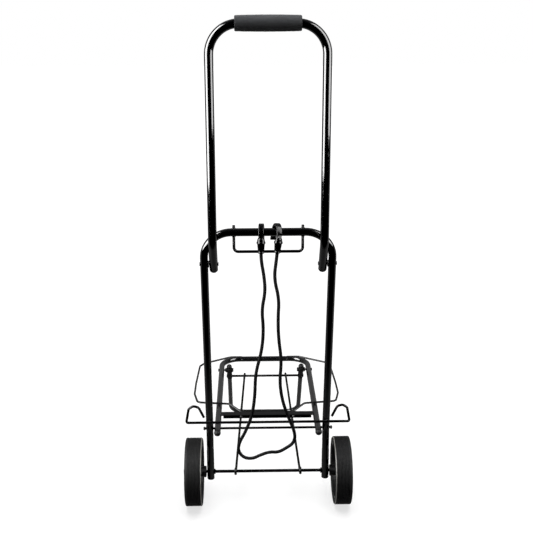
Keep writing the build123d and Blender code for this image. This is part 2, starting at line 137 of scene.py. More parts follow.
# ---- foam grip ----
GRIP_BORE = 0.00802
GRIP_STATIONS = 150
GRIP_SEGMENTS = 96
GRIP_BARREL = 0.0009
GRIP_BORE_EASE = 0.0006
GRIP_EDGE_REACH = 0.0016
GRIP_EDGE_DROP = 0.0014
GRIP_SKIN = 0.00016
GRIP_SKIN_FROM = GRIP_BORE + 0.001
GRIP_DENTS = [(240.0, 1.0), (700.0, 0.6)]

# ---- tyres: sections as (distance from a face, depth below the tread), then the band where it matters ----
RUBBER_BAND = 0
# the highlight band is a pale strip painted on the tyre's inner shoulder as a highlight
HIGHLIGHT_BAND = 1
HIGHLIGHT_WIDTH = 0.0016
TYRE_SEGMENTS = 144
TYRE_FRAME_FACE = [
    (0.0011, 0.0125, RUBBER_BAND),
    (0.0, 0.0111, RUBBER_BAND),
    (0.0, 0.007, RUBBER_BAND),
    (0.0009, 0.0063, RUBBER_BAND),
    (0.0009, 0.0046, RUBBER_BAND),
    (0.0, 0.0038, RUBBER_BAND),
    (0.0, HIGHLIGHT_WIDTH, HIGHLIGHT_BAND),
    (0.0006, 0.0009, HIGHLIGHT_BAND),
    (HIGHLIGHT_WIDTH, 0.0004, RUBBER_BAND),
    (HIGHLIGHT_WIDTH + 0.0006, 0.0, RUBBER_BAND),
]
TYRE_OUTER_FACE = [
    (0.0022, 0.0),
    (0.0007, 0.0007),
    (0.0, 0.0024),
    (0.0, 0.0045),
    (0.0009, 0.0052),
    (0.0009, 0.0063),
    (0.0, 0.007),
    (0.0, 0.0111),
    (0.0011, 0.0125),
]
RIB_FIRST = 0.0036
RIB_MARGIN = 0.0066
RIB_PITCH = 0.0029
RIB_DEPTH = 0.0011
RIB_GROOVE = [(0.0, 0.0), (0.0003, RIB_DEPTH), (0.0013, RIB_DEPTH), (0.0016, 0.0)]

# ---- teeth round the wheel's boss ----
BOSS_TEETH = 12
TOOTH_SIZE = (0.0062, 0.0024, 0.0026)
TOOTH_RADIUS = 0.0104
TOOTH_INSET = 0.0032
TOOTH_BEVEL = 0.0005

# ---- enamel on wire parts: node, body, thickness of the film ----
ENAMEL = 0.00035
WING_ENAMEL = 0.00022
ENAMEL_RIPPLE = 0.15
ENAMEL_RIPPLE_SCALE = 160.0
ENAMELLED = [
    ("hook_bar", "main_frame", ENAMEL),
    ("cord_bracket", "main_frame", ENAMEL),
    ("foot_cross_rod", "foot", ENAMEL),
    ("left_link", "links", ENAMEL),
    ("right_link", "links", ENAMEL),
    ("left_wing", "left_wing_rail", WING_ENAMEL),
    ("right_wing", "right_wing_rail", WING_ENAMEL),
]

# ---- foot hinges: the boot's (height above its pin, radius), and turned parts ----
FOOT_LEG_X = 0.0851
BOOT_OUTLINE = [
    (-0.0335, 0.0056),
    (-0.0325, 0.0061),
    (-0.022, 0.0062),
    (-0.009, 0.006),
    (-0.006, 0.0071),
    (0.005, 0.0071),
    (0.0085, 0.0052),
    (0.011, 0.0052),
    (0.0125, 0.0062),
    (0.0155, 0.0061),
    (0.0178, 0.0046),
    (0.0188, 0.0018),
]
BOOT_LOW = BOOT_OUTLINE[0][0]
BOOT_LENGTH = BOOT_OUTLINE[-1][0] - BOOT_LOW
BOOT_STEPS = 64
BOOT_SEGMENTS = 30
BOOT_FLUTES = 6
BOOT_FLUTE_DEPTH = 0.012
SPACER_START = FOOT_LEG_X + 0.0054
NUT_START = FOOT_LEG_X - 0.0066
PIN_HEAD_BITE = 0.0016
ROD_CAP_BITE = 0.0012
SPACER_BORE = 0.0016
HEAD_BORE = 0.0004
TURNED_EASE = 0.22
TURNED_CORNER = 0.3
TURNED_SEGMENTS = 36

# ---- welds, burrs and ears ----
TUBE_RADIUS = 0.0075
BAR_WELD_HALF = 0.005
BAR_WELD_BITE = 0.0006
BAR_WELD_LIFT = 0.85
BAR_WELD_RADIUS = 0.0012
CHANNEL_WELD_BITE = 0.0004
CHANNEL_WELD_GAP = 0.0015
CHANNEL_WELD_RADIUS = 0.0014
WELD_STEPS = 24
WELD_SEGMENTS = 14
WELD_TIP = 0.02
WELD_SCALE_LENGTH = 0.0013
WELD_SCALES = 0.14
WELD_LUMPS = 0.08
WELD_LUMP_TURN = 900
STIRRUP_WIRE_RADIUS = 0.0024
BURR_RING = 0.0031
BURR_RADIUS = 0.0007
BURR_LIFT = 0.0001
BURR_STEPS = 28
BURR_SEGMENTS = 10
BURR_WAVES = 5200
EAR_DROP = 0.0065
EAR_HALF = 0.0045
EAR_WIDTH = 0.0014
EAR_THINNING = 0.0006
EAR_WIRE_RADIUS = 0.0023
EAR_STEPS = 24
EAR_SEGMENTS = 16

# ---- sockets of the colour form of Blender's Mix node ----
MIX_FACTOR = 0
MIX_FIRST = 6
MIX_SECOND = 7
MIX_RESULT = 2


def camera():
    """Camera whose axes are worked out from its pitch, yaw and roll."""
    ahead = Vector((
        math.sin(CAMERA_YAW) * math.cos(CAMERA_PITCH),
        math.cos(CAMERA_YAW) * math.cos(CAMERA_PITCH),
        -math.sin(CAMERA_PITCH),
    ))
    level = Vector((math.cos(CAMERA_YAW), -math.sin(CAMERA_YAW), 0.0))
    upright = level.cross(ahead)
    right = math.cos(CAMERA_ROLL) * level + math.sin(CAMERA_ROLL) * upright
    up = right.cross(ahead)
    data = bpy.data.cameras.new("camera")
    data.lens = CAMERA_LENS
    data.sensor_width = SENSOR_WIDTH
    made = bpy.data.objects.new("camera", data)
    turn = Matrix((right, up, -ahead)).transposed().to_4x4()
    made.matrix_world = Matrix.Translation(CAMERA_PLACE) @ turn
    bpy.context.scene.collection.objects.link(made)
    bpy.context.scene.camera = made


# ---- materials ----
class Shader:
    """One Principled material with short calls for its nodes."""

    def __init__(self, name, **sockets):
        self.material = bpy.data.materials.new(name)
        self.material.use_nodes = True
        self.tree = self.material.node_tree
        self.bsdf = self.tree.nodes["Principled BSDF"]
        for socket, value in sockets.items():
            self.bsdf.inputs[socket.replace("_", " ")].default_value = value
        self.place = self.node("ShaderNodeTexCoord").outputs["Object"]

    def node(self, kind, values=None, **properties):
        """Add a node; each value is a number or colour to set, or a socket to link."""
        made = self.tree.nodes.new(kind)
        for name, value in properties.items():
            setattr(made, name, value)
        for socket, value in (values or {}).items():
            if isinstance(value, bpy.types.NodeSocket):
                self.tree.links.new(value, made.inputs[socket])
            else:
                made.inputs[socket].default_value = value
        return made

    def noise(self, scale, detail=4.0, roughness=0.55, vector=None):
        """Noise with scale features to a metre."""
        values = {"Vector": vector or self.place, "Scale": scale, "Detail": detail, "Roughness": roughness}
        return self.node("ShaderNodeTexNoise", values).outputs["Fac"]

    def ramp(self, fac, stops):
        """Colour ramp through (position, grey) or (position, colour) stops."""
        made = self.node("ShaderNodeValToRGB", {"Fac": fac})
        points = made.color_ramp.elements
        while len(points) < len(stops):
            points.new(0.5)
        for point, (at, colour) in zip(points, stops):
            point.position = at
            point.color = (*colour, 1.0) if isinstance(colour, tuple) else (colour, colour, colour, 1.0)
        return made.outputs["Color"]

    def mix(self, fac, first, second):
        """From first, where fac is 0, to second, where it is 1; either is a colour or a socket."""
        values = {MIX_FACTOR: fac}
        for index, colour in ((MIX_FIRST, first), (MIX_SECOND, second)):
            values[index] = (*colour, 1.0) if isinstance(colour, tuple) else colour
        return self.node("ShaderNodeMix", values, data_type="RGBA").outputs[MIX_RESULT]

    def bump(self, height, strength, distance, under=None):
        """Normal raised by height, on top of the normal under it."""
        values = {"Height": height, "Strength": strength, "Distance": distance}
        if under:
            values["Normal"] = under
        return self.node("ShaderNodeBump", values).outputs["Normal"]

    def link(self, **sockets):
        """Link sockets to the Principled shader and return the finished material."""
        for socket, value in sockets.items():
            self.tree.links.new(value, self.bsdf.inputs[socket.replace("_", " ")])
        return self.material


def paint(name, dark, light, rough, peel, level=0.42):
    """Gloss enamel: slow shade drift, fine orange peel, dust specks and a few dull scuffs."""
    shader = Shader(name, Specular_IOR_Level=level)
    shade = shader.ramp(shader.noise(9.0, detail=3.0), [(0.3, dark), (0.7, light)])
    specks = shader.ramp(shader.noise(900.0, detail=2.0), [(0.73, 0.0), (0.78, 0.7)])
    dust = tuple(4.0 * value + 0.02 for value in light)
    colour = shader.mix(specks, shade, dust)
    scuffs = shader.noise(60.0, detail=6.0, roughness=0.7)
    gloss = shader.ramp(scuffs, [(0.45, rough), (0.85, rough + 0.12)])
    normal = shader.bump(shader.noise(peel, detail=2.0), strength=0.07, distance=0.0002)
    return shader.link(Base_Color=colour, Roughness=gloss, Normal=normal)


def moulded(name, dark, light, rough, grain, level=0.45):
    """Moulded plastic: cloudy shade, spark-eroded grain and slightly varied gloss."""
    shader = Shader(name, Specular_IOR_Level=level)
    shade = shader.ramp(shader.noise(24.0, detail=5.0), [(0.3, dark), (0.72, light)])
    gloss = shader.ramp(shader.noise(130.0), [(0.35, rough - 0.06), (0.7, rough + 0.12)])
    normal = shader.bump(shader.noise(grain, detail=3.0), strength=0.35, distance=0.0002)
    return shader.link(Base_Color=shade, Roughness=gloss, Normal=normal)


def rubber(name):
    """Tyre rubber: sooty grey with paler handling dust and a fine dull grain."""
    shader = Shader(name, Specular_IOR_Level=0.14)
    soot = shader.noise(40.0, detail=6.0, roughness=0.65)
    shade = shader.ramp(soot, [(0.3, (0.005, 0.005, 0.0053)), (0.75, (0.011, 0.011, 0.0115))])
    dust = shader.ramp(shader.noise(420.0, roughness=0.7), [(0.6, 0.0), (0.85, 0.5)])
    colour = shader.mix(dust, shade, (0.04, 0.039, 0.038))
    gloss = shader.ramp(shader.noise(200.0, detail=3.0), [(0.3, 0.55), (0.75, 0.8)])
    normal = shader.bump(shader.noise(1500.0, detail=3.0), strength=0.4, distance=0.0002)
    return shader.link(Base_Color=colour, Roughness=gloss, Normal=normal)


def foam(name):
    """Closed-cell foam: dark grey skin with pores, painted darker as shade, and a soft bloom."""
    shader = Shader(name, Specular_IOR_Level=0.09, Sheen_Weight=0.05, Sheen_Roughness=0.8)
    pores = shader.node("ShaderNodeTexVoronoi", {"Vector": shader.place, "Scale": 1300.0}).outputs["Distance"]
    clouds = shader.noise(55.0, detail=6.0, roughness=0.6)
    shade = shader.ramp(clouds, [(0.3, (0.027, 0.0282, 0.031)), (0.75, (0.041, 0.0424, 0.0455))])
    # painted shade: darker colour at the centre of each pore
    pore_shade = shader.ramp(pores, [(0.12, 0.0), (0.4, 1.0)])
    colour = shader.mix(pore_shade, (0.018, 0.0188, 0.021), shade)
    gloss = shader.ramp(shader.noise(300.0, detail=3.0), [(0.3, 0.85), (0.75, 1.0)])
    fine = shader.bump(pores, strength=0.5, distance=0.0004)
    normal = shader.bump(shader.noise(220.0), strength=0.3, distance=0.0006, under=fine)
    return shader.link(Base_Color=colour, Roughness=gloss, Normal=normal)


def braid(name):
    """Polyester sheath: near-black strands with a slight sheen, painted shade in the braid's gaps and paler
    strand tops.
    """
    shader = Shader(name, Specular_IOR_Level=0.05, Sheen_Weight=0.01, Sheen_Roughness=0.4)
    fibres = shader.noise(2600.0, detail=3.0, roughness=0.7)
    wear = shader.noise(160.0)
    shade = shader.ramp(wear, [(0.3, (0.006, 0.006, 0.0065)), (0.75, (0.014, 0.014, 0.015))])
    # painted shade: darker in the gaps of the braid, paler on the strand tops
    strand = shader.node("ShaderNodeAttribute", attribute_name="strand").outputs["Fac"]
    raised = shader.mix(strand, (0.004, 0.004, 0.0045), shade)
    flecks = shader.ramp(fibres, [(0.55, 0.0), (0.85, 0.7)])
    colour = shader.mix(flecks, raised, (0.03, 0.03, 0.032))
    gloss = shader.ramp(shader.noise(500.0, detail=3.0), [(0.3, 0.5), (0.7, 0.75)])
    normal = shader.bump(fibres, strength=0.4, distance=0.0002)
    return shader.link(Base_Color=colour, Roughness=gloss, Normal=normal)


def highlight_ring_paint(name):
    """Pale strip at the tyre's inner edge: a painted highlight on the shoulder, dimmed unevenly."""
    shader = Shader(name, Specular_IOR_Level=0.4)
    highlight_mottle = shader.noise(90.0, detail=6.0, roughness=0.7)
    shade = shader.ramp(highlight_mottle, [(0.3, (0.34, 0.33, 0.3)), (0.8, (0.17, 0.165, 0.15))])
    gloss = shader.ramp(highlight_mottle, [(0.3, 0.42), (0.8, 0.65)])
    normal = shader.bump(shader.noise(700.0, detail=3.0), strength=0.25, distance=0.0002)
    return shader.link(Base_Color=shade, Roughness=gloss, Normal=normal)


def plated(name, tone, rough):
    """Blackened steel with drawn streaks along X."""
    shader = Shader(name, Metallic=1.0)
    stretch = shader.node("ShaderNodeMapping", {"Vector": shader.place, "Scale": (0.05, 1.0, 1.0)})
    streaks = shader.noise(900.0, roughness=0.6, vector=stretch.outputs["Vector"])
    shade = shader.ramp(streaks, [(0.3, tuple(0.7 * value for value in tone)), (0.7, tone)])
    gloss = shader.ramp(shader.noise(150.0), [(0.3, rough), (0.75, rough + 0.2)])
    normal = shader.bump(streaks, strength=0.25, distance=0.0001)
    return shader.link(Base_Color=shade, Roughness=gloss, Normal=normal)


MATERIALS = {
    "frame_paint": paint(
        "frame_enamel", (0.003, 0.003, 0.0032), (0.0055, 0.0055, 0.006), rough=0.05, peel=420.0),
    "wire_paint": paint(
        "wire_enamel", (0.003, 0.003, 0.0032), (0.006, 0.006, 0.0065), rough=0.24, peel=600.0, level=0.16),
    "platform_paint": paint(
        "platform_enamel", (0.006, 0.006, 0.0065), (0.011, 0.011, 0.012), rough=0.14, peel=420.0),
    "foot_paint": paint(
        "foot_enamel", (0.008, 0.008, 0.0085), (0.014, 0.014, 0.015), rough=0.2, peel=500.0),
    "dark_steel": paint(
        "rod_enamel", (0.003, 0.003, 0.0032), (0.007, 0.007, 0.0075), rough=0.2, peel=700.0, level=0.2),
    "rivet_steel": plated("blackened_rivet", (0.05, 0.05, 0.052), rough=0.34),
    "foam": foam("grip_foam"),
    "plug_plastic": moulded(
        "plug_plastic", (0.004, 0.004, 0.0044), (0.009, 0.009, 0.0095), rough=0.5, grain=900.0, level=0.12),
    "tyre": rubber("tyre_rubber"),
    "rim_plastic": moulded(
        "rim_plastic", (0.006, 0.006, 0.0066), (0.014, 0.014, 0.0148), rough=0.36, grain=700.0, level=0.3),
    "bush_plastic": moulded("bush_plastic", (0.03, 0.03, 0.03), (0.05, 0.05, 0.05), rough=0.5, grain=800.0),
    "cord_sheath": braid("cord_braid"),
    "hook_plastic": moulded(
        "hook_plastic", (0.004, 0.004, 0.0044), (0.009, 0.009, 0.0095), rough=0.14, grain=300.0, level=0.16),
}
# painted highlight: the pale strip at the tyre's inner edge
HIGHLIGHT_RING_PAINT = highlight_ring_paint("tyre_edge_painted_highlight")
CHANNEL_PAINT = paint(
    "channel_enamel", (0.004, 0.004, 0.0043), (0.008, 0.008, 0.0085), rough=0.3, peel=500.0, level=0.08)


def dress_frame():
    """Give each CAD node the material of its slot; the pressed channel has a duller enamel of its own."""
    slots = {row["node"]: row["material_slot"] for row in frame["record"]["subparts"]}
    for name, obj in NODES.items():
        obj.data.materials.clear()
        obj.data.materials.append(CHANNEL_PAINT if name == "platform_channel" else MATERIALS[slots[name]])


# ---- mesh helpers ----
def finish_mesh(name, mesh, body, slot, band=None):
    """Put a mesh in the scene with its slot's material, smooth but for sharp edges, riding on a body."""
    piece = bpy.data.objects.new(name, mesh)
    bpy.context.scene.collection.objects.link(piece)
    mesh.materials.append(MATERIALS[slot])
    if band:
        mesh.materials.append(band)
    mesh.shade_smooth()
    mesh.set_sharp_from_angle(angle=SHARP_ANGLE)
    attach(piece, body)
    return piece


def mesh_from(name, shape):
    """Mesh made from a bmesh, which is freed."""
    mesh = bpy.data.meshes.new(name)
    shape.to_mesh(mesh)
    shape.free()
    return mesh


def node_shape(node):
    """Copy of a CAD node's surface as a bmesh, with its doubled points joined."""
    shape = bmesh.new()
    shape.from_mesh(NODES[node].data)
    shape.transform(NODES[node].matrix_world)
    bmesh.ops.remove_doubles(shape, verts=shape.verts[:], dist=MERGE_DISTANCE)
    return shape


def bridge(shape, first, second, material_index=0):
    """Faces between two rings that have the same number of points."""
    count = len(first)
    for step in range(count):
        after = (step + 1) % count
        face = shape.faces.new((first[step], first[after], second[after], second[step]))
        face.material_index = material_index


def lathe(name, profile, centre, segments, bands=None):
    """Closed ring turned about X: profile holds (x, radius), and bands each stretch's material."""
    shape = bmesh.new()
    rings = []
    for x, radius in profile:
        ring = []
        for step in range(segments):
            angle = 2 * math.pi * step / segments
            place = (x, centre.y + radius * math.cos(angle), centre.z + radius * math.sin(angle))
            ring.append(shape.verts.new(place))
        rings.append(ring)
    for index, (ring, following) in enumerate(zip(rings, rings[1:] + rings[:1])):
        bridge(shape, ring, following, bands[index] if bands else 0)
    bmesh.ops.recalc_face_normals(shape, faces=shape.faces)
    return mesh_from(name, shape)


def tube(name, points, radius_at, segments, closed=False):
    """Tube along points, capped unless closed into a ring; radius_at(distance, angle) is its surface."""
    shape = bmesh.new()
    count = len(points)
    rings = []
    travelled = 0.0
    side = None
    for index, point in enumerate(points):
        before = points[index - 1] if index or closed else point
        after = points[(index + 1) % count] if index + 1 < count or closed else point
        ahead = (after - before).normalized()
        if side is None:
            side = ahead.orthogonal().normalized()
        side = (side - ahead * side.dot(ahead)).normalized()
        across = ahead.cross(side)
        travelled += (point - points[index - 1]).length if index else 0.0
        ring = []
        for step in range(segments):
            angle = 2 * math.pi * step / segments
            reach = radius_at(travelled, angle)
            ring.append(shape.verts.new(point + reach * (math.cos(angle) * side + math.sin(angle) * across)))
        rings.append(ring)
    for ring, following in zip(rings, rings[1:]):
        bridge(shape, ring, following)
    if closed:
        bridge(shape, rings[-1], rings[0])
    else:
        shape.faces.new(rings[0])
        shape.faces.new(rings[-1])
    bmesh.ops.recalc_face_normals(shape, faces=shape.faces)
    return mesh_from(name, shape)


# ---- elastic cord ----
def cord_path():
    """Points read from the cord's NURBS spline, whose control points are its route."""
    route = [Vector((x, CORD_Y + y, z)) for x, y, z in CORD_ROUTE]
    control = [Vector(point) for point in CORD_FIRST] + route + [Vector(point) for point in CORD_LAST]
    curve = bpy.data.curves.new("cord_route", "CURVE")
    curve.dimensions = "3D"
    spline = curve.splines.new("NURBS")
    spline.points.add(len(control) - 1)
    for point, place in zip(spline.points, control):
        point.co = (*place, 1.0)
    spline.order_u = 3
    spline.use_endpoint_u = True
    spline.resolution_u = CORD_RESOLUTION
    line = bpy.data.objects.new("cord_route", curve)
    mesh = bpy.data.meshes.new_from_object(line)
    path = [vertex.co.copy() for vertex in mesh.vertices]
    bpy.data.meshes.remove(mesh)
    bpy.data.objects.remove(line)
    bpy.data.curves.remove(curve)
    return path


def braid_height(distance, angle):
    """0 in the gaps of the braid and 1 on top of a strand."""
    turn = 2 * math.pi * distance / BRAID_PITCH
    left = math.sin(BRAID_CARRIERS / 2 * (angle + turn))
    right = math.sin(BRAID_CARRIERS / 2 * (angle - turn))
    return 0.5 + 0.5 * max(left * abs(left), right * abs(right))


def cord_surface(distance, angle):
    """Radius of the cord over its braid."""
    return CORD_DIAMETER / 2 + CORD_SWELL + BRAID_HEIGHT * (braid_height(distance, angle) - 1.0)


def cord_hook(node, x, twist, swing):
    """Moulded hook from its CAD shape: a broader J strip with a fuller crown, and a thicker socket."""
    low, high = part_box("cord_bracket")
    bar = Vector((x, (low.y + high.y) / 2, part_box("main_frame_tube")[1].z - TUBE_RADIUS))
    turn = Matrix.Rotation(math.radians(swing), 3, "Y") @ Matrix.Rotation(math.radians(twist), 3, "Z")
    shape = node_shape(node)
    for vertex in shape.verts:
        own = turn.inverted() @ (vertex.co - bar)
        own.x *= HOOK_WIDEN
        if own.z > 0.0:
            own.z *= HOOK_CROWN
        if own.z < SOCKET_TOP:
            own.y = SOCKET_AXIS + (own.y - SOCKET_AXIS) * SOCKET_WIDEN
        vertex.co = turn @ own + bar
    bmesh.ops.recalc_face_normals(shape, faces=shape.faces[:])
    name = f"{node}_moulding"
    hook = finish_mesh(name, mesh_from(name, shape), "main_frame", "hook_plastic")
    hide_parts(node)
    return hook


def elastic_cord():
    """Braided cord, whose strand attribute tells its material where to paint shade in the braid's gaps, and
    its hooks.
    """
    path = cord_path()
    mesh = tube("cord_sheath", path, cord_surface, CORD_SEGMENTS)
    # the strand attribute holds the braid's height, which the sheath material turns into painted shade
    strand = mesh.attributes.new("strand", "FLOAT", "POINT")
    travelled = 0.0
    for index, point in enumerate(path):
        travelled += (point - path[index - 1]).length if index else 0.0
        for step in range(CORD_SEGMENTS):
            height = braid_height(travelled, 2 * math.pi * step / CORD_SEGMENTS)
            strand.data[index * CORD_SEGMENTS + step].value = height
    cord = finish_mesh("cord_sheath", mesh, "main_frame", "cord_sheath")
    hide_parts("elastic_cord")
    hooks = [cord_hook(node, *pose) for node, pose in HOOKS.items()]


# ---- handle grip ----
def foam_grip():
    """Foam sleeve, a little barrelled, with soft end edges and an uneven skin."""
    low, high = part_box("handle_grip")
    middle = Vector((0.0, (low.y + high.y) / 2, (low.z + high.z) / 2))
    outer = (high.z - low.z) / 2
    half = (high.x - low.x) / 2
    profile = [(-half + GRIP_BORE_EASE, GRIP_BORE)]
    for step in range(GRIP_STATIONS + 1):
        x = half * (2 * step / GRIP_STATIONS - 1)
        barrel = outer - GRIP_BARREL * (x / half) ** 2
        near_end = max(0.0, 1 - (half - abs(x)) / GRIP_EDGE_REACH)
        profile.append((x, barrel - GRIP_EDGE_DROP * near_end ** 2))
    profile.append((half - GRIP_BORE_EASE, GRIP_BORE))
    mesh = lathe("grip_sleeve", profile, middle, GRIP_SEGMENTS)
    for vertex in mesh.vertices:
        away = Vector((0.0, vertex.co.y - middle.y, vertex.co.z - middle.z))
        if away.length > GRIP_SKIN_FROM:
            dent = sum(share * noise.noise(vertex.co * scale) for scale, share in GRIP_DENTS)
            vertex.co -= away.normalized() * GRIP_SKIN * (dent + 1.0)
    grip = finish_mesh("grip_sleeve", mesh, "handle", "foam")
    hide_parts("handle_grip")


# ---- wheels: sign is -1 for the left wheel and 1 for the right one ----
def frame_face(low, high, sign):
    """X of the face of a wheel's part that looks at the frame."""
    return high.x if sign < 0 else low.x


def tyre(side, sign):
    """Tyre with a finely ribbed tread, square shoulders, a stepped sidewall and a pale painted highlight at
    its inner edge.
    """
    low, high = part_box(f"{side}_tyre")
    width = high.x - low.x
    outline = list(TYRE_FRAME_FACE)
    for rib in range(int((width - RIB_MARGIN) / RIB_PITCH)):
        start = RIB_FIRST + rib * RIB_PITCH
        outline += [(start + along, depth, RUBBER_BAND) for along, depth in RIB_GROOVE]
    outline += [(width - inward, depth, RUBBER_BAND) for inward, depth in TYRE_OUTER_FACE]
    face = frame_face(low, high, sign)
    outer = (high.z - low.z) / 2
    profile = [(face + sign * along, outer - depth) for along, depth, _ in outline]
    bands = [band for _, _, band in outline]
    name = f"{side}_tyre_tread"
    mesh = lathe(name, profile, (low + high) / 2, TYRE_SEGMENTS, bands)
    # faces in the highlight band take the painted highlight material
    tread = finish_mesh(name, mesh, f"{side}_wheel", "tyre", band=HIGHLIGHT_RING_PAINT)
    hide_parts(f"{side}_tyre")


def boss_teeth(side, sign):
    """Castellated collar moulded round the end of the wheel's boss."""
    low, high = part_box(f"{side}_wheel_rim")
    centre = (low + high) / 2
    hub = Matrix.Translation((frame_face(low, high, sign) + sign * TOOTH_INSET, centre.y, centre.z))
    tooth_form = Matrix.Translation((0, 0, TOOTH_RADIUS)) @ Matrix.Diagonal((*TOOTH_SIZE, 1.0))
    shape = bmesh.new()
    for tooth in range(BOSS_TEETH):
        turn = Matrix.Rotation(2 * math.pi * tooth / BOSS_TEETH, 4, "X")
        bmesh.ops.create_cube(shape, size=1.0, matrix=hub @ turn @ tooth_form)
    bmesh.ops.bevel(shape, geom=shape.edges[:], offset=TOOTH_BEVEL, segments=2, affect="EDGES")
    name = f"{side}_boss_teeth"
    finish_mesh(name, mesh_from(name, shape), f"{side}_wheel", "rim_plastic")


# ---- enamel on the wires ----
def enamel_coat(node, body, film):
    """Thick dipped enamel over a wire part, moved out from the bare steel with a slight ripple."""
    shape = node_shape(node)
    bmesh.ops.recalc_face_normals(shape, faces=shape.faces[:])
    shape.normal_update()
    for vertex, away in [(vertex, vertex.normal.copy()) for vertex in shape.verts]:
        vertex.co += away * film * (1.0 + ENAMEL_RIPPLE * noise.noise(vertex.co * ENAMEL_RIPPLE_SCALE))
    name = f"{node}_enamel"
    coat = finish_mesh(name, mesh_from(name, shape), body, "wire_paint")
    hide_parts(node)


# ---- foot hinges ----
def boot_radius(height):
    """Radius of the foot's moulded boot at a height above the hinge pin, eased between outline points."""
    for (low, first), (high, second) in zip(BOOT_OUTLINE, BOOT_OUTLINE[1:]):
        if height <= high:
            share = max(0.0, (height - low) / (high - low))
            return first + (second - first) * share * share * (3 - 2 * share)
    return BOOT_OUTLINE[-1][1]


def boot_surface(distance, angle):
    """Radius of the boot with its shallow flutes, at a distance from its lower end."""
    return boot_radius(distance + BOOT_LOW) * (1 + BOOT_FLUTE_DEPTH * math.cos(BOOT_FLUTES * angle))


def turned(name, x_from, length, radius, bore, centre, body, slot):
    """Small turned collar about X with rounded outer edges; its length is negative towards -X."""
    x_to = x_from + length
    ease = TURNED_EASE * abs(length)
    lean = math.copysign(ease, length)
    corner = TURNED_CORNER
    profile = [
        (x_from, bore),
        (x_from, radius - ease),
        (x_from + corner * lean, radius - corner * ease),
        (x_from + lean, radius),
        (x_to - lean, radius),
        (x_to - corner * lean, radius - corner * ease),
        (x_to, radius - ease),
        (x_to, bore),
    ]
    finish_mesh(name, lathe(name, profile, centre, TURNED_SEGMENTS), body, slot)


def foot_hinges():
    """Moulded boots on the foot's upper ends, collars and heads on their pins, and caps on the cross rod."""
    pins_low, pins_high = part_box("foot_pivot_pins")
    rod_low, rod_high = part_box("foot_cross_rod")
    pin = (pins_low + pins_high) / 2
    rod = (rod_low + rod_high) / 2
    down = Vector((0.0, rod.y - pin.y, rod.z - pin.z)).normalized()
    head_start = pins_high.x - PIN_HEAD_BITE
    cap_start = rod_high.x - ROD_CAP_BITE
    collars = [
        ("hinge_spacer", SPACER_START, 0.0044, 0.0052, SPACER_BORE, pin, "foot", "plug_plastic"),
        ("hinge_nut", NUT_START, -0.003, 0.0047, HEAD_BORE, pin, "foot", "dark_steel"),
        ("pin_head", head_start, 0.0018, 0.0036, HEAD_BORE, pin, "platform", "dark_steel"),
        ("rod_cap", cap_start, 0.0016, 0.0038, HEAD_BORE, rod, "foot", "dark_steel"),
    ]
    for side, sign in SIDES:
        hinge = Vector((sign * FOOT_LEG_X, pin.y, pin.z))
        heights = [BOOT_LOW + BOOT_LENGTH * step / BOOT_STEPS for step in range(BOOT_STEPS + 1)]
        name = f"{side}_foot_boot"
        boot = tube(name, [hinge - down * height for height in heights], boot_surface, BOOT_SEGMENTS)
        finish_mesh(name, boot, "foot", "plug_plastic")
        for part, start, length, *rest in collars:
            turned(f"{side}_{part}", sign * start, sign * length, *rest)


# ---- welds, burrs and ears ----
def weld(name, start, end, radius, body, slot):
    """Short weld run with ripples, tapering at both ends."""
    start, end = Vector(start), Vector(end)
    length = (end - start).length
    points = [start.lerp(end, step / WELD_STEPS) for step in range(WELD_STEPS + 1)]

    def surface(distance, angle):
        taper = math.sqrt(max(WELD_TIP, 1 - (2 * distance / length - 1) ** 2))
        scales = WELD_SCALES * math.sin(2 * math.pi * distance / WELD_SCALE_LENGTH)
        lumps = WELD_LUMPS * math.sin(3 * angle + distance * WELD_LUMP_TURN)
        return radius * taper * (1 + scales + lumps)

    finish_mesh(name, tube(name, points, surface, WELD_SEGMENTS), body, slot)


def burr(name, centre):
    """Small raised ring about Z, which a wire leaves round its hole in the tube."""
    points = []
    for step in range(BURR_STEPS):
        angle = 2 * math.pi * step / BURR_STEPS
        points.append(Vector(centre) + BURR_RING * Vector((math.cos(angle), math.sin(angle), 0.0)))

    def surface(distance, _angle):
        return BURR_RADIUS * (1 + 0.1 * math.sin(distance * BURR_WAVES))

    ring = tube(name, points, surface, BURR_SEGMENTS, closed=True)
    finish_mesh(name, ring, "main_frame", "frame_paint")


def ear(name, centre):
    """Flattened ears on the stirrup's wire, which stop it sliding up through the tube."""
    rises = [EAR_HALF * (2 * step / EAR_STEPS - 1) for step in range(EAR_STEPS + 1)]
    points = [Vector(centre) + Vector((0.0, 0.0, rise)) for rise in rises]

    def surface(distance, angle):
        swell = math.sin(math.pi * distance / (2 * EAR_HALF)) ** 2
        return EAR_WIRE_RADIUS + swell * (EAR_WIDTH * math.cos(angle) ** 2 - EAR_THINNING)

    finish_mesh(name, tube(name, points, surface, EAR_SEGMENTS), "main_frame", "wire_paint")


